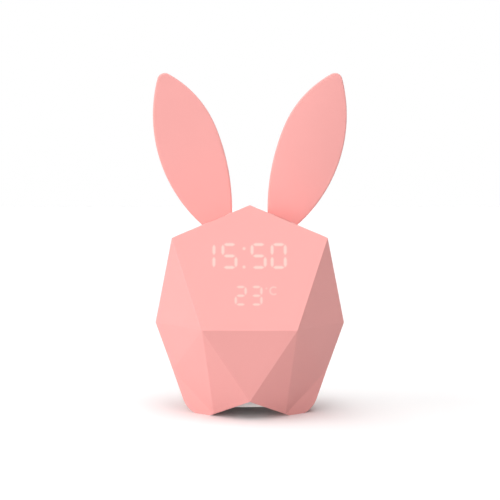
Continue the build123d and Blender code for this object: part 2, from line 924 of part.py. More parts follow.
with BuildPart() as temperature_sensor:
    with BuildSketch(
        Plane(
            origin=spot(
                back_face, -bead_offset, main_board_bottom_row + bead_leg_length / 2,
                main_board_outer - bead_leg_radius,
            ),
            x_dir=back_face.x_dir,
            z_dir=back_face.y_dir * -1,
        )
    ):
        Circle(bead_leg_radius)
    extrude(amount=bead_leg_length)
    with Locations(
        spot(
            back_face, -bead_offset, main_board_bottom_row - bead_leg_length / 2,
            main_board_outer - bead_leg_radius,
        )
    ):
        Sphere(bead_radius)
finish(temperature_sensor.part, "temperature_sensor")

# Speaker: a stepped frame over the sound slots, a paper cone under it and a magnet on top
rim_top = base_top + speaker_rim_height
basket_top = rim_top + speaker_basket_height
rim_inner_radius = speaker_radius - speaker_rim_width
with BuildPart() as speaker_frame:
    with BuildSketch(Plane.XZ):
        with BuildLine():
            Polyline(
                (rim_inner_radius, base_top),
                (speaker_radius, base_top),
                (speaker_radius, rim_top),
                (rim_inner_radius, rim_top),
                (speaker_basket_radius, basket_top),
                (speaker_coil_radius, basket_top),
                (speaker_coil_radius, basket_top - speaker_basket_wall),
                (speaker_basket_radius - speaker_basket_wall, basket_top - speaker_basket_wall),
                (rim_inner_radius - speaker_basket_wall, rim_top),
                (rim_inner_radius, rim_top - speaker_basket_wall),
                close=True,
            )
        make_face()
    revolve(axis=Axis.Z)
finish(speaker_frame.part, "speaker_frame")

cone_edge = rim_inner_radius - fit_gap
cone_neck = speaker_coil_radius - speaker_cone_wall
cone_neck_height = basket_top - speaker_basket_wall - fit_gap
with BuildPart() as speaker_cone:
    with BuildSketch(Plane.XZ):
        with BuildLine():
            Polyline(
                (0, rim_top),
                (speaker_cap_radius, rim_top),
                (cone_edge, base_top + speaker_cone_wall),
                (cone_edge, base_top + 2 * speaker_cone_wall),
                (speaker_cap_radius, rim_top + speaker_cone_wall),
                (cone_neck, cone_neck_height),
                (0, cone_neck_height),
                close=True,
            )
        make_face()
    revolve(axis=Axis.Z)
finish(speaker_cone.part, "speaker_cone")

with BuildPart() as speaker_magnet:
    with BuildSketch(Plane.XY.offset(basket_top)):
        Circle(speaker_magnet_radius)
    extrude(amount=speaker_magnet_height)
finish(speaker_magnet.part, "speaker_magnet")

# Flat cell on a tape pad on the inner side of the main board
with BuildPart() as battery_pad:
    with BuildSketch(back_face.offset(-main_board_inner)):
        with Locations((0, battery_row)):
            Rectangle(pad_share * battery_width, pad_share * battery_length)
    extrude(amount=-pad_thickness)
finish(battery_pad.part, "battery_pad")

battery_outer = main_board_inner + pad_thickness
with BuildPart() as battery:
    with BuildSketch(back_face.offset(-battery_outer)):
        with Locations((0, battery_row)):
            RectangleRounded(battery_width, battery_length, battery_round)
    extrude(amount=-battery_thickness)
finish(battery.part, "battery")


def bend_radii(points):
    """The largest easy arc at each corner of a route."""
    radii = []
    for before, corner, after in zip(points, points[1:], points[2:]):
        turn = radians((corner - before).get_angle(after - corner))
        shorter = min((corner - before).length, (after - corner).length)
        radii.append(bend_share * shorter / tan(turn / 2))
    return radii


def lead(points, section_radius):
    """A round lead: straight runs joined by arcs."""
    with BuildPart() as wire:
        with BuildLine() as path:
            FilletPolyline(*points, radius=bend_radii(points))
        start = Plane(origin=path.line @ 0, z_dir=path.line % 0)
        with BuildSketch(start):
            Circle(section_radius)
        sweep(path=path.line)
    return wire.part


# Leads inside: a flat ribbon to the display, one lead to the cell and one to the speaker
ribbon_front_depth = display_board_back + ribbon_socket_height / 2
ribbon_front_row = temperature_row - ribbon_socket_width / 2 - lead_seat_gap
ribbon_back_depth = main_board_inner + ribbon_socket_height / 2
ribbon_back_row = plug_row - ribbon_socket_width / 2 - lead_seat_gap
ribbon_points = (
    spot(front_face, 0, ribbon_front_row, ribbon_front_depth),
    spot(front_face, 0, ribbon_front_row - ribbon_drop, ribbon_front_depth),
    level(0, 0, ribbon_sag_height),
    spot(back_face, 0, ribbon_back_row - ribbon_drop, ribbon_back_depth),
    spot(back_face, 0, ribbon_back_row, ribbon_back_depth),
)
with BuildPart() as display_ribbon:
    with BuildLine() as ribbon_path:
        FilletPolyline(*ribbon_points, radius=bend_radii(ribbon_points))
    with BuildSketch(
        Plane(origin=ribbon_path.line @ 0, x_dir=(1, 0, 0), z_dir=ribbon_path.line % 0)
    ):
        Rectangle(ribbon_width, ribbon_thickness)
    sweep(path=ribbon_path.line)
finish(display_ribbon.part, "display_ribbon")

plug_depth = main_board_inner + plug_height / 2
plug_mouth_row = plug_row - plug_width / 2 - lead_seat_gap
cell_depth = battery_outer + battery_thickness - 2 * lead_radius
cell_edge_row = battery_row - battery_length / 2 - lead_seat_gap
cell_low_row = cell_edge_row - battery_lead_drop
finish(
    lead(
        (
            spot(back_face, -plug_offset, cell_edge_row, cell_depth),
            spot(back_face, -plug_offset, cell_low_row, cell_depth),
            spot(back_face, -plug_offset, cell_low_row, plug_depth),
            spot(back_face, -plug_offset, plug_mouth_row, plug_depth),
        ),
        lead_radius,
    ),
    "battery_lead",
)

speaker_tag_radius = speaker_radius - speaker_rim_width / 2
speaker_tag_across = speaker_tag_radius * cos(radians(45))
speaker_tag = level(-speaker_tag_across, speaker_tag_across, rim_top + lead_seat_gap)
speaker_plug = spot(back_face, plug_offset, plug_mouth_row, plug_depth)
speaker_plug_below = spot(back_face, plug_offset, plug_mouth_row - speaker_lead_drop, plug_depth)
speaker_lead_rise = (speaker_plug_below.Z - speaker_tag.Z) / 2
finish(
    lead(
        (
            speaker_tag,
            level(speaker_tag.X, speaker_tag.Y, speaker_tag.Z + speaker_lead_rise),
            speaker_plug_below,
            speaker_plug,
        ),
        lead_radius,
    ),
    "speaker_lead",
)
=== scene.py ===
from contextlib import contextmanager
from math import acos, atan2, cos, pi, radians, sin, sqrt, tan

import bmesh
import bpy
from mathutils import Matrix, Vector


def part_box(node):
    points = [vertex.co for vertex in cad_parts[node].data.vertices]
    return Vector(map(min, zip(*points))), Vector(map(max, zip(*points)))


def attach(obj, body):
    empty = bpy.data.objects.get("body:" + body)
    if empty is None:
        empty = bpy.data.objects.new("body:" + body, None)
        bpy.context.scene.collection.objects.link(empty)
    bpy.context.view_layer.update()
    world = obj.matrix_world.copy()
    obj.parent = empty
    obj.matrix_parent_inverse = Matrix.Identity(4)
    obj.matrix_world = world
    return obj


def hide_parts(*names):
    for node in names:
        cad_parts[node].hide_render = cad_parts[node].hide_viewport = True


# A bedside alarm clock: a soft gem-cut skin with two tall ears over a hard inner shell.
# The solids come in first, in metres, with the display looking along -Y and +Z up.
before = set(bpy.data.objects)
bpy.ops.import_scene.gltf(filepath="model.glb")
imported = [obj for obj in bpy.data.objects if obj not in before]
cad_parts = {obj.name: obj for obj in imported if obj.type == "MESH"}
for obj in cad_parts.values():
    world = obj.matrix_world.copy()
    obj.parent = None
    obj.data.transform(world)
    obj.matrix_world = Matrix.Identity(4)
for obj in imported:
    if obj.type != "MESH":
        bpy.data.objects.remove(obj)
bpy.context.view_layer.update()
bpy.ops.object.select_all(action="DESELECT")


# Base plate: a flat moulded plate of hard white plastic that closes the shell from below.
# It drops in between the walls, and five slots in it let the sound out.
mm = 0.001


class Wire:
    """One socket of a finish, so that patterns add and scale like plain numbers."""

    def __init__(self, tree, socket):
        self.tree = tree
        self.socket = socket

    def node(self, kind, settings, inputs, output=0):
        """Add one node: first its settings, then the values or wires of its sockets."""
        made = self.tree.nodes.new(kind)
        for name, value in settings.items():
            setattr(made, name, value)
        for name, value in inputs.items():
            if isinstance(value, Wire):
                self.tree.links.new(value.socket, made.inputs[name])
            else:
                made.inputs[name].default_value = value
        return Wire(self.tree, made.outputs[output])

    def maths(self, operation, first, second=0.0):
        """One sum on wires or plain numbers."""
        return self.node("ShaderNodeMath", {"operation": operation}, {0: first, 1: second})

    def __add__(self, other):
        return self.maths("ADD", self, other)

    def __radd__(self, other):
        return self.maths("ADD", other, self)

    def __sub__(self, other):
        return self.maths("SUBTRACT", self, other)

    def __rsub__(self, other):
        return self.maths("SUBTRACT", other, self)

    def __mul__(self, other):
        return self.maths("MULTIPLY", self, other)

    def __rmul__(self, other):
        return self.maths("MULTIPLY", other, self)

    def between(self, low, high):
        """A colour from low, where this wire is 0, to high, where it is 1."""
        return self.node("ShaderNodeMix", {"data_type": "RGBA"}, {0: self, 6: low, 7: high}, 2)


def new_finish(name, fixed):
    """A finish with its fixed values set, and the place on the piece as its first wire."""
    finish = bpy.data.materials.new(name)
    finish.use_nodes = True
    tree = finish.node_tree
    shader = tree.nodes["Principled BSDF"]
    for socket, value in fixed.items():
        shader.inputs[socket].default_value = value
    place = Wire(tree, shader.outputs[0]).node("ShaderNodeTexCoord", {}, {}, "Object")
    return finish, shader, place


def feed(shader, socket, wire):
    """Join a wire to a socket of the surface."""
    wire.tree.links.new(wire.socket, shader.inputs[socket])


def grain(place, scale, detail=2.0):
    """Soft cloudy noise from 0 to 1, with about scale spots to the metre."""
    return place.node("ShaderNodeTexNoise", {}, {"Vector": place, "Scale": scale, "Detail": detail})


def relief(shader, height, strength, depth):
    """Small ups and downs on the surface, with their depth in millimetres."""
    bump = height.node(
        "ShaderNodeBump", {}, {"Height": height, "Strength": strength, "Distance": depth * mm}
    )
    feed(shader, "Normal", bump)


def moulded(name, colour, shade, smooth, rough, spark):
    """Moulded plastic: a faint cloud in the colour and the fine grain of a sparked mould."""
    finish, shader, place = new_finish(name, {"Specular IOR Level": 0.45})
    feed(shader, "Base Color", grain(place, scale=60.0).between(shade, colour))
    pits = grain(place, scale=spark, detail=3.0)
    feed(shader, "Roughness", smooth + (rough - smooth) * pits)
    relief(shader, pits, strength=0.25, depth=0.04)
    return finish


def dress(finish, *names):
    """Give solids of the frame their finish."""
    for name in names:
        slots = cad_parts[name].data.materials
        slots.clear()
        slots.append(finish)


white_plastic = moulded(
    "white_plastic", (0.92, 0.91, 0.90, 1), (0.87, 0.86, 0.845, 1), smooth=0.34, rough=0.52, spark=5200.0
)
dress(white_plastic, "base_plate")


# Shell screws and board screws: small turned steel screws with a bright zinc skin.
# They cut their own thread in the plastic bosses.
def turned_steel(name, colour, shade, smooth, rough):
    """Bare metal with the fine rings that a lathe leaves."""
    finish, shader, place = new_finish(name, {"Metallic": 1.0})
    drawn = place.node("ShaderNodeMapping", {}, {"Vector": place, "Scale": (1.0, 1.0, 14.0)})
    rings = grain(drawn, scale=900.0, detail=4.0)
    feed(shader, "Base Color", rings.between(shade, colour))
    feed(shader, "Roughness", smooth + (rough - smooth) * rings)
    relief(shader, rings, strength=0.2, depth=0.03)
    return finish


zinc_steel = turned_steel(
    "zinc_steel", (0.72, 0.71, 0.69, 1), (0.55, 0.54, 0.53, 1), smooth=0.24, rough=0.42
)
dress(zinc_steel, "shell_screws", "display_screws", "main_board_screws")


# Speaker: a pressed steel frame over the sound slots, a dark paper cone and a ferrite magnet.
# The rim is glued to the base plate, and the magnet to the back of the frame.
speaker_steel = turned_steel(
    "speaker_steel", (0.40, 0.40, 0.41, 1), (0.30, 0.30, 0.31, 1), smooth=0.38, rough=0.55
)
dress(speaker_steel, "speaker_frame")

cone_paper, shader, place = new_finish("cone_paper", {"Specular IOR Level": 0.2})
pressed = place.node("ShaderNodeMapping", {}, {"Vector": place, "Scale": (1.0, 3.5, 1.0)})
fibres = grain(pressed, scale=1400.0, detail=5.0)
feed(shader, "Base Color", fibres.between((0.012, 0.012, 0.013, 1), (0.055, 0.052, 0.05, 1)))
feed(shader, "Roughness", 0.78 + 0.18 * fibres)
relief(shader, fibres, strength=0.5, depth=0.12)
dress(cone_paper, "speaker_cone")

ferrite = moulded(
    "ferrite", (0.075, 0.073, 0.075, 1), (0.045, 0.045, 0.048, 1), smooth=0.42, rough=0.68, spark=2600.0
)
dress(ferrite, "speaker_magnet")


# Display block and light bars: a black moulded block that keeps the light of each bar apart.
# Milky resin fills its openings and glows a warm white over the lamps of the board.
mask_plastic = moulded(
    "mask_plastic", (0.022, 0.022, 0.024, 1), (0.014, 0.014, 0.016, 1), smooth=0.5, rough=0.72, spark=3400.0
)
dress(mask_plastic, "display_mask")

milky_resin, shader, place = new_finish("milky_resin", {"Emission Strength": 0.6})
milk = grain(place, scale=420.0, detail=3.0)
feed(shader, "Base Color", milk.between((0.86, 0.83, 0.80, 1), (0.95, 0.93, 0.90, 1)))
feed(shader, "Emission Color", milk.between((0.90, 0.74, 0.66, 1), (1.0, 0.86, 0.78, 1)))
feed(shader, "Roughness", 0.35 + 0.2 * milk)
dress(milky_resin, "time_bars", "colon_dots", "temperature_bars", "degree_sign")


# Circuit boards: glass cloth boards under a green lacquer, with copper tracks that show through.
# The display board sits on three bosses of the front shell, the main board on four of the rear.
lacquer_board, shader, place = new_finish("lacquer_board", {"Specular IOR Level": 0.5})
tracks = place.node(
    "ShaderNodeTexBrick",
    {"offset": 0.5, "squash": 1.0},
    {
        "Vector": place.node("ShaderNodeMapping", {}, {"Vector": place, "Rotation": (0.0, 0.0, 0.6)}),
        "Scale": 260.0,
        "Mortar Size": 0.06,
        "Mortar Smooth": 0.2,
        "Color1": (0.0, 0.0, 0.0, 1),
        "Color2": (0.0, 0.0, 0.0, 1),
        "Mortar": (1.0, 1.0, 1.0, 1),
    },
    "Fac",
)
weave = grain(place, scale=1800.0)
lacquer = weave.between((0.012, 0.10, 0.045, 1), (0.018, 0.135, 0.06, 1))
feed(shader, "Base Color", tracks.between(lacquer, (0.05, 0.24, 0.10, 1)))
feed(shader, "Roughness", 0.28 + 0.18 * weave)
relief(shader, tracks + 0.3 * weave, strength=0.3, depth=0.04)
dress(lacquer_board, "display_board", "main_board")


# Chips, switches and sensors: black filled resin packages soldered flat to the boards.
# The switches are square boxes with a round stem that the button posts push.
black_resin = moulded(
    "black_resin", (0.028, 0.028, 0.03, 1), (0.018, 0.018, 0.02, 1), smooth=0.46, rough=0.7, spark=4200.0
)
dress(black_resin, "display_drivers", "main_chips", "switch_bodies")
stem_plastic = moulded(
    "stem_plastic", (0.60, 0.57, 0.50, 1), (0.52, 0.49, 0.43, 1), smooth=0.4, rough=0.6, spark=3000.0
)
dress(stem_plastic, "mode_switch_stem", "alarm_switch_stem", "down_switch_stem", "up_switch_stem")
bead_glaze = moulded(
    "bead_glaze", (0.10, 0.16, 0.30, 1), (0.07, 0.11, 0.22, 1), smooth=0.2, rough=0.38, spark=1500.0
)
dress(bead_glaze, "temperature_sensor")
can_metal = turned_steel(
    "can_metal", (0.66, 0.65, 0.63, 1), (0.52, 0.51, 0.50, 1), smooth=0.25, rough=0.4
)
dress(can_metal, "microphone", "tap_sensor")


# Sockets: off-white nylon housings for the ribbon and the two leads inside, soldered to the boards.
# The charging socket is a seamless steel sleeve round a black tongue, set in a pocket at the back.
nylon = moulded(
    "nylon", (0.80, 0.76, 0.66, 1), (0.72, 0.68, 0.58, 1), smooth=0.42, rough=0.6, spark=2400.0
)
dress(nylon, "display_socket", "main_sockets")
sleeve_steel = turned_steel(
    "sleeve_steel", (0.70, 0.70, 0.71, 1), (0.56, 0.56, 0.57, 1), smooth=0.18, rough=0.32
)
dress(sleeve_steel, "charging_socket")
dress(black_resin, "charging_tongue")


# Flat cell: a pouch of creased foil on a soft dark foam pad that sticks it to the main board.
# Its two-core lead and the speaker's lead are soft vinyl, and the ribbon is flat vinyl cores.
cell_foil, shader, place = new_finish("cell_foil", {"Metallic": 0.85})
creases = place.node(
    "ShaderNodeTexVoronoi",
    {"feature": "DISTANCE_TO_EDGE"},
    {"Vector": place, "Scale": 90.0},
    "Distance",
)
foil_cloud = grain(place, scale=140.0, detail=3.0)
feed(shader, "Base Color", foil_cloud.between((0.50, 0.51, 0.53, 1), (0.66, 0.67, 0.69, 1)))
feed(shader, "Roughness", 0.3 + 0.2 * foil_cloud)
relief(shader, creases + 0.4 * foil_cloud, strength=0.25, depth=0.2)
dress(cell_foil, "battery")

foam, shader, place = new_finish("foam", {"Specular IOR Level": 0.1})
cells = place.node(
    "ShaderNodeTexVoronoi", {"feature": "F1"}, {"Vector": place, "Scale": 2200.0}, "Distance"
)
feed(shader, "Base Color", cells.between((0.02, 0.02, 0.022, 1), (0.07, 0.07, 0.075, 1)))
feed(shader, "Roughness", 0.85 + 0.12 * cells)
relief(shader, cells, strength=0.7, depth=0.2)
dress(foam, "battery_pad")

red_vinyl = moulded(
    "red_vinyl", (0.42, 0.025, 0.02, 1), (0.32, 0.018, 0.015, 1), smooth=0.35, rough=0.5, spark=1900.0
)
dress(red_vinyl, "battery_lead")
black_vinyl = moulded(
    "black_vinyl", (0.03, 0.03, 0.032, 1), (0.02, 0.02, 0.022, 1), smooth=0.35, rough=0.5, spark=1900.0
)
dress(black_vinyl, "speaker_lead")

ribbon_vinyl, shader, place = new_finish("ribbon_vinyl", {"Specular IOR Level": 0.45})
cores = place.node(
    "ShaderNodeTexWave",
    {"wave_type": "BANDS", "bands_direction": "X"},
    {"Vector": place, "Scale": 314.0, "Distortion": 0.0},
    "Fac",
)
feed(shader, "Base Color", cores.between((0.50, 0.51, 0.53, 1), (0.68, 0.69, 0.70, 1)))
feed(shader, "Roughness", 0.42 + 0.1 * grain(place, scale=1500.0))
relief(shader, cores, strength=0.5, depth=0.1)
dress(ribbon_vinyl, "display_ribbon")


# Hard shell: two moulded halves of white plastic, joined on a flat seam by four long screws.
# Its lower front shows through the arch under the soft skin.
dress(white_plastic, "shell_front", "shell_rear")


# Soft skin: one thick-walled silicone moulding with flat facets, pulled over the shell from above.
# It stands on two rounded feet with an arch between them, and the display shines through its face.
def silicone(name, colour, shade, light=0.0):
    """Matte dyed silicone: a faint cloud in the dye, a fine dull grain and light from behind."""
    finish, shader, place = new_finish(
        name,
        {
            "Specular IOR Level": 0.3,
            "Sheen Weight": 0.12,
            "Sheen Roughness": 0.5,
            "Emission Strength": light,
        },
    )
    dust = grain(place, scale=3600.0, detail=3.0)
    feed(shader, "Roughness", 0.5 + 0.16 * dust)
    relief(shader, dust, strength=0.15, depth=0.03)
    feed(shader, "Base Color", grain(place, scale=24.0).between(shade, colour))
    return finish, shader, place


def at(x, y, z):
    """A place given in millimetres."""
    return Vector((x, y, z)) * mm


skin_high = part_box("outer_skin")[1]
waist_half_width = skin_high.x / mm
waist_half_depth = skin_high.y / mm
ridge_height = skin_high.z / mm
waist_height = 47.2
front_half_width = 23.7
shoulder_half_width = 39.4
shoulder_height = 92.9
face_tilt = radians(15.0)
belly_tilt = radians(16.0)
arch_height = 9.8
heel_reach = 18.6
heel_depth = 15.2
heel_height = 0.9
flank_depth = 0.6
flank_height = 22.0
foot_half_width = 32.9
foot_depth = 3.2
foot_round = 11.5
side_slope = (waist_half_width - foot_half_width) / waist_height
skin_wall = 2.5
cavity_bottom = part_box("shell_front")[0].z / mm
edge_round = 0.55
seam_gap = 0.001
cut_gap = 0.0001

ridge_corner = at(0, (ridge_height - waist_height) * tan(face_tilt) - waist_half_depth, ridge_height)
shoulder_corner = at(
    -shoulder_half_width,
    (shoulder_height - waist_height) * tan(face_tilt) - waist_half_depth,
    shoulder_height,
)
front_corner = at(-front_half_width, -waist_half_depth, waist_height)
side_corner = at(-waist_half_width, 0, waist_height)
arch_corner = at(0, (waist_height - arch_height) * tan(belly_tilt) - waist_half_depth, arch_height)
heel_corner = at(-heel_reach, -heel_depth, heel_height)
flank_corner = at(-foot_half_width - side_slope * flank_height, -flank_depth, flank_height)
foot_corner = at(-foot_half_width, -foot_depth, 0)
body_middle = at(0, 0, waist_height)


def to_back(corner):
    """The same corner on the back of the body."""
    return Vector((corner.x, -corner.y, corner.z))


def facet(a, b, c):
    """A cut through three corners, as a place on it and its direction away from the body."""
    across = (b - a).cross(c - a).normalized()
    if across.dot(a - body_middle) < 0:
        across = -across
    return a, across


def both_faces(a, b, c):
    """The same cut on the front and on the back."""
    return [facet(a, b, c), facet(to_back(a), to_back(b), to_back(c))]


def take(piece):
    """Select one piece alone, and make it the active one."""
    bpy.ops.object.select_all(action="DESELECT")
    piece.select_set(True)
    bpy.context.view_layer.objects.active = piece


@contextmanager
def editing(piece):
    """Open one piece for editing, and close it at the end."""
    take(piece)
    bpy.ops.object.mode_set(mode="EDIT")
    yield
    bpy.ops.object.mode_set(mode="OBJECT")


def fix_place():
    """Put the place, turn and size of what is selected into its mesh."""
    bpy.ops.object.transform_apply(location=True, rotation=True, scale=True)


def block(name, low, high):
    """A plain block between two corners, to be cut."""
    bpy.ops.object.select_all(action="DESELECT")
    bpy.ops.mesh.primitive_cube_add(size=1, location=(low + high) / 2)
    bpy.ops.transform.resize(value=high - low)
    fix_place()
    made = bpy.context.object
    made.name = name
    return made


def slice_off(cuts, inset=0.0):
    """While editing, cut off what lies beyond each plane and close the cut."""
    for place_on, away in cuts:
        bpy.ops.mesh.select_all(action="SELECT")
        bpy.ops.mesh.bisect(
            plane_co=place_on - away * inset * mm,
            plane_no=away,
            use_fill=True,
            clear_outer=True,
            threshold=cut_gap * mm,
        )


def pick(piece, kind, test):
    """While editing, select only the edges or the faces that pass a test."""
    bpy.ops.mesh.select_mode(type=kind)
    bpy.ops.mesh.select_all(action="DESELECT")
    sheet = bmesh.from_edit_mesh(piece.data)
    for part in sheet.edges if kind == "EDGE" else sheet.faces:
        if test(part):
            part.select_set(True)
    sheet.select_flush_mode()
    bmesh.update_edit_mesh(piece.data)


def round_off(size, steps):
    """While editing, round the edges that are selected."""
    bpy.ops.mesh.bevel(offset=size * mm, segments=steps, profile=0.5, affect="EDGES")


def face_outwards():
    """While editing, turn all faces outwards."""
    bpy.ops.mesh.select_all(action="SELECT")
    bpy.ops.mesh.normals_make_consistent(inside=False)


def settle(piece, kind, **settings):
    """Add a modifier to a piece and apply it."""
    take(piece)
    modifier = piece.modifiers.new(kind.lower(), kind)
    for setting, value in settings.items():
        setattr(modifier, setting, value)
    bpy.ops.object.modifier_apply(modifier=modifier.name)


def carve(piece, tool, operation):
    """Join a second closed shape to a piece, or take it away, and drop that shape."""
    settle(piece, "BOOLEAN", operation=operation, solver="EXACT", object=tool)
    bpy.data.objects.remove(tool)


side_cuts = [
    facet(side_corner, side_corner + at(0, 1, 0), at(-foot_half_width, 0, 0)),
    facet(side_corner, side_corner + at(0, 1, 0), shoulder_corner),
    facet(shoulder_corner, shoulder_corner + at(0, 1, 0), ridge_corner),
]
facet_cuts = (
    both_faces(front_corner, shoulder_corner, ridge_corner)
    + both_faces(front_corner, front_corner + at(1, 0, 0), arch_corner)
    + both_faces(shoulder_corner, front_corner, side_corner)
    + both_faces(front_corner, arch_corner, heel_corner)
    + both_faces(front_corner, heel_corner, flank_corner)
    + both_faces(front_corner, flank_corner, side_corner)
)
side_away = side_cuts[0][1]
arch_away = Vector((arch_corner.z - heel_corner.z, 0, heel_corner.x - arch_corner.x)).normalized()
arch_cut = (arch_corner, arch_away)
floor_cut = (at(0, 0, 0), Vector((0, 0, -1)))
stock_half_width = 60.0
stock_half_depth = 50.0
stock_bottom = -12.0
stock_top = 115.0
side_match = 0.999


def stock(name, inner, bottom, top):
    """A block that is wider than the left half of the body, to be cut to its facets."""
    return block(
        name, at(-stock_half_width, -stock_half_depth, bottom), at(inner, stock_half_depth, top)
    )


def under_foot(edge):
    """Whether an edge lies between the leaning side and the arch."""
    return len(edge.link_faces) == 2 and all(
        any(abs(face.normal.dot(away)) > side_match for face in edge.link_faces)
        for away in (side_away, arch_away)
    )


def cut_foot(piece):
    """While editing, cut the leaning side and the arch, and round the foot between them."""
    slice_off([side_cuts[0], arch_cut])
    pick(piece, "EDGE", under_foot)
    corner_angle = pi - acos(side_away.dot(arch_away))
    round_off(foot_round / tan(corner_angle / 2), steps=26)


def open_middle(piece):
    """While editing, take away the flat face in the middle, where the other half joins."""
    pick(piece, "FACE", lambda face: all(abs(vert.co.x) < cut_gap * mm for vert in face.verts))
    bpy.ops.mesh.delete(type="FACE")


def add_other_half(piece):
    """Mirror the left half of a piece to the right."""
    settle(piece, "MIRROR", use_axis=(True, False, False), merge_threshold=seam_gap * mm)


skin = stock("soft_skin", inner=0, bottom=stock_bottom, top=stock_top)
with editing(skin):
    cut_foot(skin)
    slice_off(side_cuts[1:] + facet_cuts)
foot = stock("foot", inner=-heel_reach, bottom=stock_bottom, top=flank_height)
with editing(foot):
    cut_foot(foot)
    slice_off(both_faces(flank_corner, heel_corner, foot_corner))
carve(skin, foot, "UNION")
with editing(skin):
    slice_off([floor_cut])
    open_middle(skin)
add_other_half(skin)
with editing(skin):
    bpy.ops.mesh.select_all(action="SELECT")
    bpy.ops.mesh.remove_doubles(threshold=2 * seam_gap * mm)
    face_outwards()
    bpy.ops.mesh.dissolve_limited(angle_limit=radians(0.6))
settle(
    skin,
    "BEVEL",
    width=edge_round * mm,
    segments=3,
    limit_method="ANGLE",
    angle_limit=radians(6.0),
)

cavity = stock("cavity", inner=0, bottom=cavity_bottom, top=stock_top)
with editing(cavity):
    slice_off(side_cuts + facet_cuts, inset=skin_wall)
    open_middle(cavity)
add_other_half(cavity)
with editing(cavity):
    face_outwards()
carve(skin, cavity, "DIFFERENCE")

# The opening under the body and the two slots in the roof for the tabs of the ears.
opening_half_width = 15.0
opening_half_depth = 14.0
opening_bottom = -5.0
opening_top = 26.0
opening_round = 4.0
ear_middle = 17.4
tab_half_width = 4.5
tab_half_depth = 1.6
tab_reach = 12.0
slot_play = 0.15
slot_reach = 8.0
roof_slope = (ridge_height - shoulder_height) / shoulder_half_width


def roof_level(across):
    """Height of the sloping roof at a distance from its ridge."""
    return ridge_height - roof_slope * across


def upright(edge):
    """Whether an edge of a block runs straight up."""
    return abs(edge.verts[0].co.z - edge.verts[1].co.z) > 0.9 * edge.calc_length()


opening = block(
    "opening",
    at(-opening_half_width, -opening_half_depth, opening_bottom),
    at(opening_half_width, opening_half_depth, opening_top),
)
with editing(opening):
    pick(opening, "EDGE", upright)
    round_off(opening_round, steps=8)
carve(skin, opening, "DIFFERENCE")
slot_half_width = tab_half_width + slot_play
slot_half_depth = tab_half_depth + slot_play
slot_middle = roof_level(ear_middle)
for side in (-1, 1):
    slot = block(
        "slot",
        at(side * ear_middle - slot_half_width, -slot_half_depth, slot_middle - tab_reach),
        at(side * ear_middle + slot_half_width, slot_half_depth, slot_middle + slot_reach),
    )
    carve(skin, slot, "DIFFERENCE")

# Holes in the back: four for the buttons, one for the charging plug and one for the microphone.
back_away = Vector((0, cos(face_tilt), sin(face_tilt)))
back_up = Vector((0, -sin(face_tilt), cos(face_tilt)))
back_foot = at(0, waist_half_depth, waist_height)
back_turn = (-radians(90) + face_tilt, 0, 0)
button_offsets = (19.5, 6.5, -6.5, -19.5)
button_row = 27.44
button_hole_radius = 4.4
microphone_row = 41.41
microphone_hole_radius = 0.8
port_row = 9.98
plug_half_width = 6.5
plug_half_height = 4.0
plug_round = 2.2
hole_reach = 4.0
hole_rim_round = 0.3
hole_wall_lean = 0.3


def turned(name, radius, low, high, sides):
    """A round bar on the upright axis between two levels."""
    bpy.ops.object.select_all(action="DESELECT")
    bpy.ops.mesh.primitive_cylinder_add(
        vertices=sides,
        radius=radius * mm,
        depth=(high - low) * mm,
        location=at(0, 0, (low + high) / 2),
    )
    fix_place()
    made = bpy.context.object
    made.name = name
    return made


def set_on_back(piece, across, row, out=0.0):
    """Turn a piece that points up to the back face, and set it at a place there."""
    piece.rotation_euler = back_turn
    piece.location = back_foot + at(across, 0, 0) + back_up * (row * mm) + back_away * (out * mm)
    fix_place()


def on_hole_rim(edge):
    """Whether an edge runs round a hole in the back face."""
    return (
        len(edge.link_faces) == 2
        and all(abs((vert.co - back_foot).dot(back_away)) < seam_gap * mm for vert in edge.verts)
        and min(abs(face.normal.dot(back_away)) for face in edge.link_faces) < hole_wall_lean
    )


holes = [(across, button_row, button_hole_radius) for across in button_offsets]
holes.append((0, microphone_row, microphone_hole_radius))
for across, row, radius in holes:
    drill = turned("drill", radius, -hole_reach, hole_reach, sides=48)
    set_on_back(drill, across, row)
    carve(skin, drill, "DIFFERENCE")
plug_hole = block(
    "plug_hole",
    at(-plug_half_width, -plug_half_height, -hole_reach),
    at(plug_half_width, plug_half_height, hole_reach),
)
with editing(plug_hole):
    pick(plug_hole, "EDGE", upright)
    round_off(plug_round, steps=8)
set_on_back(plug_hole, 0, port_row)
carve(skin, plug_hole, "DIFFERENCE")
with editing(skin):
    pick(skin, "EDGE", on_hole_rim)
    round_off(hole_rim_round, steps=2)

# Lit numbers: the face is divided finely where the light bars stand behind it, and each point
# there keeps how much light comes through the skin.
face_away = Vector((0, -cos(face_tilt), sin(face_tilt)))
face_up = Vector((0, sin(face_tilt), cos(face_tilt)))
face_foot = at(0, -waist_half_depth, waist_height)
strip_columns = (-25.2, -8.4, 8.4, 25.2)
strip_rows = ((29.0, 47.0, strip_columns[0]), (11.15, 24.15, strip_columns[1]))
strip_slack = 0.01
strip_cuts = 63
face_match = 0.99999


def on_face(vert):
    """Place of a point on the front face, in millimetres, or nothing if it is elsewhere."""
    reach = vert.co - face_foot
    if abs(reach.dot(face_away)) > 2 * seam_gap * mm:
        return None
    return reach.x / mm, reach.dot(face_up) / mm


def over_display(face):
    """Whether a face of the skin lies over one of the two rows of numbers."""
    places = [on_face(vert) for vert in face.verts]
    if None in places:
        return False
    return any(
        all(
            left - strip_slack < across < strip_columns[-1] + strip_slack
            and bottom - strip_slack < row < top + strip_slack
            for across, row in places
        )
        for bottom, top, left in strip_rows
    )


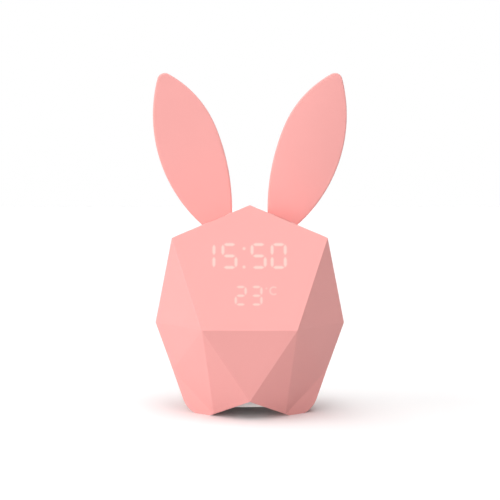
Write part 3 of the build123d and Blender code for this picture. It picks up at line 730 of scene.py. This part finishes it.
cut_lines = [
    (face_foot + face_up * (row * mm), face_up)
    for bottom, top, left in strip_rows
    for row in (bottom, top)
]
cut_lines += [(at(across, 0, 0), Vector((1, 0, 0))) for across in strip_columns]
with editing(skin):
    for place_on, away in cut_lines:
        pick(skin, "FACE", lambda face: face.normal.dot(face_away) > face_match)
        bpy.ops.mesh.bisect(plane_co=place_on, plane_no=away, threshold=cut_gap * mm)
    pick(skin, "FACE", over_display)
    bpy.ops.mesh.subdivide(number_cuts=strip_cuts)

bars_of = {"1": "bc", "5": "afgcd", "0": "abcdef", "2": "abged", "3": "abgcd"}
time_figures = (("1", -21.35), ("5", -10.25), ("5", 4.45), ("0", 14.55))
time_size = {"row": 38.0, "width": 6.6, "height": 11.8, "trim": 1.0}
time_bar = {"half_width": 0.74, "level": 1.0}
colon_spots = ((-2.9, 41.8), (-2.9, 32.3))
colon_dot = {"half_width": 0.75, "level": 0.9}
temperature_figures = (("2", -4.55), ("3", 3.35))
temperature_size = {"row": 17.66, "width": 4.9, "height": 8.9, "trim": 0.85}
temperature_bar = {"half_width": 0.58, "level": 0.9}
degree_spots = ((8.3, 21.36),)
degree_dot = {"half_width": 0.45, "level": 0.5}
unit_middle = (12.0, 20.16)
unit_radius = 1.9
unit_turns = range(60, 301, 20)
unit_stroke = {"half_width": 0.3, "level": 0.75}
long_bar = 2.0
point_length = 1.2
point_share = 0.45
soft_edge = 0.45


def lit_bars(figure, centre, row, width, height, trim):
    """Ends of the lit bars of one figure, as pairs of places on the face."""
    end_trim = 0.6 * trim
    left = centre - width / 2
    right = centre + width / 2
    bottom = row - height / 2
    top = row + height / 2
    ends = {
        "a": (left + trim, top, right - trim, top),
        "b": (right, row + trim, right, top - end_trim),
        "c": (right, bottom + end_trim, right, row - trim),
        "d": (left + trim, bottom, right - trim, bottom),
        "e": (left, bottom + end_trim, left, row - trim),
        "f": (left, row + trim, left, top - end_trim),
        "g": (left + trim, row, right - trim, row),
    }
    return [ends[bar] for bar in bars_of[figure]]


def bar_light(across, row, ends, half_width, level):
    """Light of one bar at one place: full in the bar, soft at its edge and at its pointed ends."""
    x0, y0, x1, y1 = ends
    length = sqrt((x1 - x0) ** 2 + (y1 - y0) ** 2)
    along = 0.0
    share = 0.0
    taper = 1.0
    if length > 0:
        along = ((across - x0) * (x1 - x0) + (row - y0) * (y1 - y0)) / length
        along = max(0.0, min(length, along))
        share = along / length
    if length > long_bar:
        taper = min(1.0, point_share + min(along, length - along) / point_length)
    away = sqrt((across - x0 - share * (x1 - x0)) ** 2 + (row - y0 - share * (y1 - y0)) ** 2)
    fade = max(0.0, min(1.0, (half_width * taper + soft_edge - away) / (2 * soft_edge)))
    return level * fade * fade * (3 - 2 * fade)


lights = []
for figure, centre in time_figures:
    lights += [(ends, time_bar) for ends in lit_bars(figure, centre, **time_size)]
lights += [(spot + spot, colon_dot) for spot in colon_spots]
for figure, centre in temperature_figures:
    lights += [(ends, temperature_bar) for ends in lit_bars(figure, centre, **temperature_size)]
lights += [(spot + spot, degree_dot) for spot in degree_spots]
unit_points = [
    (unit_middle[0] + unit_radius * cos(radians(turn)), unit_middle[1] + unit_radius * sin(radians(turn)))
    for turn in unit_turns
]
lights += [(start + end, unit_stroke) for start, end in zip(unit_points, unit_points[1:])]

glow = skin.data.attributes.new("glow", "FLOAT", "POINT")
for vert in skin.data.vertices:
    spot = on_face(vert)
    glow.data[vert.index].value = max(bar_light(*spot, ends, **bar) for ends, bar in lights) if spot else 0.0

crease_angle = radians(35)


def coat(piece, finish):
    """Give a new piece its finish, and shade it smooth between its sharp edges."""
    take(piece)
    piece.data.materials.clear()
    piece.data.materials.append(finish)
    bpy.ops.object.shade_smooth_by_angle(angle=crease_angle)


pink = (0.93, 0.412, 0.391, 1)
deep_pink = (0.915, 0.400, 0.379, 1)
skin_silicone, shader, place = silicone("skin_silicone", pink, deep_pink, light=1.0)
light_through = place.node("ShaderNodeAttribute", {"attribute_name": "glow"}, {}, "Fac")
feed(shader, "Emission Color", light_through.between((0, 0, 0, 1), (0.25, 0.235, 0.20, 1)))
coat(skin, skin_silicone)
settle(skin, "WEIGHTED_NORMAL", mode="FACE_AREA", weight=100, keep_sharp=True)
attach(skin, "body")
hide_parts("outer_skin")


# Ears: two flat silicone plates, curved like a leaf as seen from the front, with soft round rims.
# A tab under each one is pushed through the roof of the skin and the shell.
ear_half_thickness = 2.75
ear_rim_round = 1.0
root_inner_reach = 9.4
root_outer_reach = 25.1
root_lift = 0.1
root_slack = 0.01
lower_radius = 114.5
outer_radius = 77.0
tip_round = 4.0
root_inner = Vector((-root_inner_reach, roof_level(root_inner_reach) + root_lift))
root_outer = Vector((-root_outer_reach, roof_level(root_outer_reach) + root_lift))
ear_bend = Vector((-17.7, 150.2))
ear_tip = Vector((-47.2, 180.4))


def arc_centre(start, end, radius):
    """Centre of the arc that bulges to the right on its way from start to end."""
    half = (end - start) / 2
    left = Vector((-half.y, half.x)).normalized()
    return start + half + left * sqrt(radius**2 - half.length_squared)


def turn_between(centre, start, end):
    """Angle at a centre from start round to end, anticlockwise as the front sees it."""
    first = start - centre
    second = end - centre
    return atan2(first.x * second.y - first.y * second.x, first.dot(second))


# The upper arc goes on smoothly from the lower one, and the small arc at the tip touches both
# the upper and the outer one.
lower_centre = arc_centre(root_inner, ear_bend, lower_radius)
outward_line = (lower_centre - ear_bend).normalized()
upper_radius = (ear_tip - ear_bend).length_squared / (2 * (ear_tip - ear_bend).dot(outward_line))
upper_centre = ear_bend + outward_line * upper_radius
outer_centre = arc_centre(ear_tip, root_outer, outer_radius)
span = outer_centre - upper_centre
upper_reach = upper_radius - tip_round
outer_reach = outer_radius - tip_round
along_span = (upper_reach**2 - outer_reach**2 + span.length_squared) / (2 * span.length)
tip_centre = (
    upper_centre
    + span.normalized() * along_span
    + Vector((-span.y, span.x)).normalized() * sqrt(upper_reach**2 - along_span**2)
)
upper_end = upper_centre + (tip_centre - upper_centre).normalized() * upper_radius
outer_start = outer_centre + (tip_centre - outer_centre).normalized() * outer_radius
ear_arcs = [
    (lower_centre, turn_between(lower_centre, root_inner, ear_bend), 14),
    (upper_centre, turn_between(upper_centre, ear_bend, upper_end), 26),
    (tip_centre, turn_between(tip_centre, upper_end, outer_start), 16),
    (outer_centre, turn_between(outer_centre, outer_start, root_outer), 40),
]
root_line = (root_outer - root_inner).normalized()


def on_root(vert):
    """Whether a point of the ear lies on its straight foot."""
    reach = Vector((vert.co.x, vert.co.z)) / mm - root_inner
    return abs(reach.x * root_line.y - reach.y * root_line.x) < root_slack


def on_ear_rim(edge):
    """Whether an edge goes round the front or the back of the ear, apart from its foot."""
    flat = abs(edge.verts[0].co.y - edge.verts[1].co.y) < seam_gap * mm
    return flat and not all(on_root(vert) for vert in edge.verts)


bpy.ops.object.select_all(action="DESELECT")
bpy.ops.mesh.primitive_plane_add(size=mm)
ear = bpy.context.object
ear.name = "ear_plate_left"
with editing(ear):
    bpy.ops.mesh.select_mode(type="VERT")
    bpy.ops.mesh.select_all(action="SELECT")
    bpy.ops.mesh.merge(type="CENTER")
    bpy.ops.transform.translate(value=at(root_inner.x, -ear_half_thickness, root_inner.y))
    for centre, turn, steps in ear_arcs:
        bpy.ops.mesh.spin(
            steps=steps,
            angle=turn,
            center=at(centre.x, -ear_half_thickness, centre.y),
            axis=(0, 1, 0),
        )
    bpy.ops.mesh.select_all(action="SELECT")
    bpy.ops.mesh.remove_doubles(threshold=cut_gap * mm)
    bpy.ops.mesh.edge_face_add()
    bpy.ops.mesh.extrude_region_move(TRANSFORM_OT_translate={"value": at(0, 2 * ear_half_thickness, 0)})
    face_outwards()
    pick(ear, "EDGE", on_ear_rim)
    round_off(ear_rim_round, steps=6)
tab = block(
    "tab",
    at(-ear_middle - tab_half_width, -tab_half_depth, slot_middle - tab_reach),
    at(-ear_middle + tab_half_width, tab_half_depth, slot_middle + tab_reach),
)
carve(ear, tab, "UNION")


def copy_of(piece, name):
    """A copy of a piece with a mesh of its own, selected alone."""
    take(piece)
    bpy.ops.object.duplicate()
    made = bpy.context.object
    made.name = name
    return made


coat(ear, silicone("ear_silicone", pink, deep_pink)[0])
settle(ear, "WEIGHTED_NORMAL", mode="FACE_AREA", weight=100, keep_sharp=True)
ear_copy = copy_of(ear, "ear_plate_right")
bpy.ops.transform.resize(value=(-1, 1, 1), center_override=(0, 0, 0))
fix_place()
with editing(ear_copy):
    face_outwards()
for plate, node in ((ear, "ear_left"), (ear_copy, "ear_right")):
    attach(plate, "body")
    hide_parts(node)


# Buttons: four round caps of firmer silicone in a row on the back, a little deeper in colour.
# Each is one moulding: a dished top with a raised sign, a flange that keeps it in the shell
# and a post under it that pushes its switch.
cap_radius = 4.0
cap_top = 0.8
cap_round = 0.5
dish_radius = 3.1
dish_depth = 0.2
dish_steps = (0.55, 0.3, 0.15)
flange_radius = 5.2
flange_top = -4.8
flange_bottom = -5.8
post_radius = 1.6
post_bottom = -7.1
sign_rise = 0.28
sign_sink = 0.12
sign_round = 0.08
level_slack = 0.001
sign_bottom = cap_top - dish_depth - sign_sink
sign_top = cap_top - dish_depth + sign_rise
stroke_half_length = 1.4
stroke_half_width = 0.3
button_silicone = silicone("button_silicone", (0.84, 0.36, 0.35, 1), (0.81, 0.335, 0.325, 1))[0]


def flat_at(level):
    """A test for edges or faces that lie flat at one level."""
    return lambda part: all(abs(vert.co.z / mm - level) < level_slack for vert in part.verts)


def narrow(size):
    """While editing, set a smaller flat end into the one that is selected."""
    bpy.ops.mesh.inset(thickness=size * mm)


def push(away):
    """While editing, pull what is selected up or down into a new step."""
    bpy.ops.mesh.extrude_region_move(TRANSFORM_OT_translate={"value": at(0, 0, away)})


def widen(share, level):
    """While editing, make a flat end wider or narrower in its own level."""
    bpy.ops.transform.resize(value=(share, share, 1), center_override=at(0, 0, level))


cap = turned("button_cap", cap_radius, flange_top, cap_top, sides=64)
with editing(cap):
    pick(cap, "EDGE", flat_at(cap_top))
    round_off(cap_round, steps=5)
    pick(cap, "FACE", flat_at(cap_top))
    narrow(cap_radius - cap_round - dish_radius)
    for share in dish_steps:
        narrow(dish_radius / (len(dish_steps) + 1))
        bpy.ops.transform.translate(value=at(0, 0, -dish_depth * share))
    pick(cap, "FACE", flat_at(flange_top))
    push(0)
    widen(flange_radius / cap_radius, flange_top)
    push(flange_bottom - flange_top)
    narrow(flange_radius - post_radius)
    push(post_bottom - flange_bottom)
    face_outwards()


def round_top(piece, level):
    """Round the upper edge of one stroke of a sign."""
    with editing(piece):
        pick(piece, "EDGE", flat_at(level))
        round_off(sign_round, steps=2)


def sign_bar(half_width, half_height, row=0.0):
    """A straight stroke of a sign, flat on the dish of the cap."""
    made = block(
        "stroke",
        at(-half_width, row - half_height, sign_bottom),
        at(half_width, row + half_height, sign_top),
    )
    round_top(made, sign_top)
    return made


def sign_disc(radius, row=0.0, spare=0.0):
    """A round spot of a sign, flat on the dish of the cap."""
    made = turned("spot", radius, sign_bottom - spare, sign_top + spare, sides=40)
    round_top(made, sign_top + spare)
    bpy.ops.transform.translate(value=at(0, row, 0))
    fix_place()
    return made


def clean(piece, gap):
    """Merge what lies closer than a gap, and make flat what is flat."""
    with editing(piece):
        bpy.ops.mesh.select_all(action="SELECT")
        bpy.ops.mesh.remove_doubles(threshold=gap * mm)
        bpy.ops.mesh.dissolve_degenerate(threshold=gap * mm)
        bpy.ops.mesh.dissolve_limited(angle_limit=radians(0.5))
        face_outwards()


ring_sign = sign_disc(radius=1.5)
carve(ring_sign, sign_disc(radius=0.95, spare=0.3), "DIFFERENCE")
bell_sign = sign_disc(radius=0.95, row=-0.55)
carve(bell_sign, sign_bar(half_width=0.88, half_height=0.62, row=0.08), "UNION")
carve(bell_sign, sign_bar(half_width=1.45, half_height=0.2, row=0.68), "UNION")
carve(bell_sign, sign_disc(radius=0.4, row=1.16), "UNION")
minus_sign = sign_bar(stroke_half_length, stroke_half_width)
plus_sign = sign_bar(stroke_half_length, stroke_half_width)
carve(plus_sign, sign_bar(stroke_half_width, stroke_half_length), "UNION")
signs = (("mode", ring_sign), ("alarm", bell_sign), ("down", minus_sign), ("up", plus_sign))
for (key, sign), across in zip(signs, button_offsets):
    button = copy_of(cap, key + "_cap")
    carve(button, sign, "UNION")
    clean(button, gap=0.004)
    set_on_back(button, across, button_row)
    coat(button, button_silicone)
    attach(button, key + "_key")
    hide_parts(key + "_button")
bpy.data.objects.remove(cap)


# Contacts: thin gilt strips on both sides of the tongue in the charging socket.
# They are pressed from sheet and laid in the moulding, and run back to the board.
strip_pitch = 1.1
strip_half_width = 0.25
tongue_half_height = 0.35
strip_rise = 0.04
strip_length = 2.6
strip_start = -7.5
strip_round = 0.02
gilt = turned_steel("gilt", (0.83, 0.60, 0.26, 1), (0.68, 0.47, 0.18, 1), smooth=0.2, rough=0.34)
contacts = block(
    "socket_contacts",
    at(-strip_half_width, tongue_half_height - strip_rise, -strip_length),
    at(strip_half_width, tongue_half_height + strip_rise, 0),
)
settle(
    contacts,
    "BEVEL",
    width=strip_round * mm,
    segments=2,
    limit_method="ANGLE",
    angle_limit=radians(40),
)
strips = []
for step in (-2, -1, 1, 2):
    strips.append(copy_of(contacts, "strip"))
    bpy.ops.transform.translate(value=at(step * strip_pitch, 0, 0))
take(contacts)
for strip in strips:
    strip.select_set(True)
bpy.ops.object.join()
settle(contacts, "MIRROR", use_axis=(False, True, False), merge_threshold=cut_gap * mm)
with editing(contacts):
    face_outwards()
set_on_back(contacts, 0, port_row, out=strip_start)
coat(contacts, gilt)
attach(contacts, "body")


# Base screws: four small zinc-plated screws with flat heads and a cross recess for the driver.
# They go in last, from below through the opening in the skin, and hold the base plate.
screw_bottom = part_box("base_screws")[0].z / mm
screw_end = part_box("base_screws")[1].z / mm
screw_x = 13.0
screw_y = 12.0
head_radius = 1.8
head_height = 1.4
head_round = 0.18
shank_radius = 0.9
tip_length = 0.5
tip_share = 0.55
recess_half_length = 1.1
recess_half_width = 0.26
recess_depth = 0.8
head_top = screw_bottom + head_height
screw = turned("base_screw", head_radius, screw_bottom, head_top, sides=48)
with editing(screw):
    pick(screw, "EDGE", flat_at(screw_bottom))
    round_off(head_round, steps=4)
    pick(screw, "FACE", flat_at(head_top))
    narrow(head_radius - shank_radius)
    push(screw_end - head_top - tip_length)
    push(tip_length)
    widen(tip_share, screw_end)
for reach_x, reach_y in (
    (recess_half_length, recess_half_width),
    (recess_half_width, recess_half_length),
):
    cross_arm = block(
        "cross_arm",
        at(-reach_x, -reach_y, screw_bottom - recess_depth),
        at(reach_x, reach_y, screw_bottom + recess_depth),
    )
    carve(screw, cross_arm, "DIFFERENCE")
coat(screw, zinc_steel)
screw_spots = [(side * screw_x, face * screw_y) for side in (1, -1) for face in (1, -1)]
for index, (x, y) in enumerate(screw_spots, 1):
    driven = copy_of(screw, f"base_screw_{index}")
    bpy.ops.transform.translate(value=at(x, y, 0))
    fix_place()
    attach(driven, "body")
    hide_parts("base_screws")
bpy.data.objects.remove(screw)


# Table: a plain pale sheet that runs on to the horizon and keeps the soft shadow of the clock.
# The eye sees it white, and it throws back less light than that on the clock.
table_side = 60.0


def seen_straight(wire):
    """1 for what the eye sees, straight or in what shines or is clear, and 0 for other light."""
    eye, gloss, clear = (
        wire.node("ShaderNodeLightPath", {}, {}, ray)
        for ray in ("Is Camera Ray", "Is Glossy Ray", "Is Transmission Ray")
    )
    return eye.maths("MAXIMUM", eye, gloss.maths("MAXIMUM", gloss, clear))


bpy.ops.object.select_all(action="DESELECT")
bpy.ops.mesh.primitive_plane_add(size=table_side)
table = bpy.context.object
table.name = "table"
table_white, shader, place = new_finish("table_white", {"Roughness": 0.9, "Specular IOR Level": 0.0})
table_colour = seen_straight(place).between((0.55, 0.55, 0.55, 1), (1.0, 1.0, 1.0, 1))
feed(shader, "Base Color", table_colour)
table.data.materials.append(table_white)


# Light: a low soft ring round the clock, brightest in front on the left, and four round lamps:
# a broad one overhead, one low on the left, and small ones high in front and behind on the left.
# The eye, and what shines or is clear, sees plain white beyond them.
ring_strength = 2.4
ring_front = (-0.707, -0.707, 0)
ring_fall = 4.0
lamps = (
    {"strength": 2.54, "direction": (0, 0, 1), "rim": 0.84, "middle": 0.96},
    {"strength": 1.64, "direction": (-0.883, -0.321, 0.342), "rim": 0.80, "middle": 0.95},
    {"strength": 2.16, "direction": (0.133, -0.434, 0.891), "rim": 0.90, "middle": 0.97},
    {"strength": 1.05, "direction": (-0.579, 0.579, 0.574), "rim": 0.90, "middle": 0.97},
)
world = bpy.data.worlds.new("tent")
bpy.context.scene.world = world
world.use_nodes = True
tent = world.node_tree.nodes["Background"]
toward = Wire(world.node_tree, tent.outputs[0]).node("ShaderNodeTexCoord", {}, {}, "Generated")


def lean(direction):
    """How far a direction of the tent leans to a given one, from -1 to 1."""
    return toward.node(
        "ShaderNodeVectorMath", {"operation": "DOT_PRODUCT"}, {0: toward, 1: direction}, "Value"
    )


def round_lamp(strength, direction, rim, middle):
    """A round lamp in the tent, full in its middle and fading to its rim."""
    inside = (lean(Vector(direction).normalized()) - rim) * (1 / (middle - rim))
    return strength * inside.maths("MINIMUM", inside.maths("MAXIMUM", inside, 0.0), 1.0)


height = lean((0, 0, 1))
ring = height.maths("GREATER_THAN", height, 0.0) * height.maths("POWER", 1 - height, ring_fall)
level = ring_strength * (1 + lean(ring_front)) * ring
for lamp in lamps:
    level = level + round_lamp(**lamp)
seen = seen_straight(height)
feed(tent, "Strength", seen + (1 - seen) * level)
tent.inputs["Color"].default_value = (1, 1, 1, 1)


# Camera: in front of the clock at about the height of its roof, looking slightly down.
# Its long lens shows the facets with little perspective.
look_down = 2.2906
camera_data = bpy.data.cameras.new("camera")
camera_data.lens = 85.0
camera_data.sensor_width = 36.0
camera = bpy.data.objects.new("camera", camera_data)
bpy.context.scene.collection.objects.link(camera)
camera.location = (0.0001, -0.6246145, 0.110646)
camera.rotation_euler = (radians(90 - look_down), 0, 0)
bpy.context.scene.camera = camera
bpy.context.scene.view_settings.view_transform = "Standard"
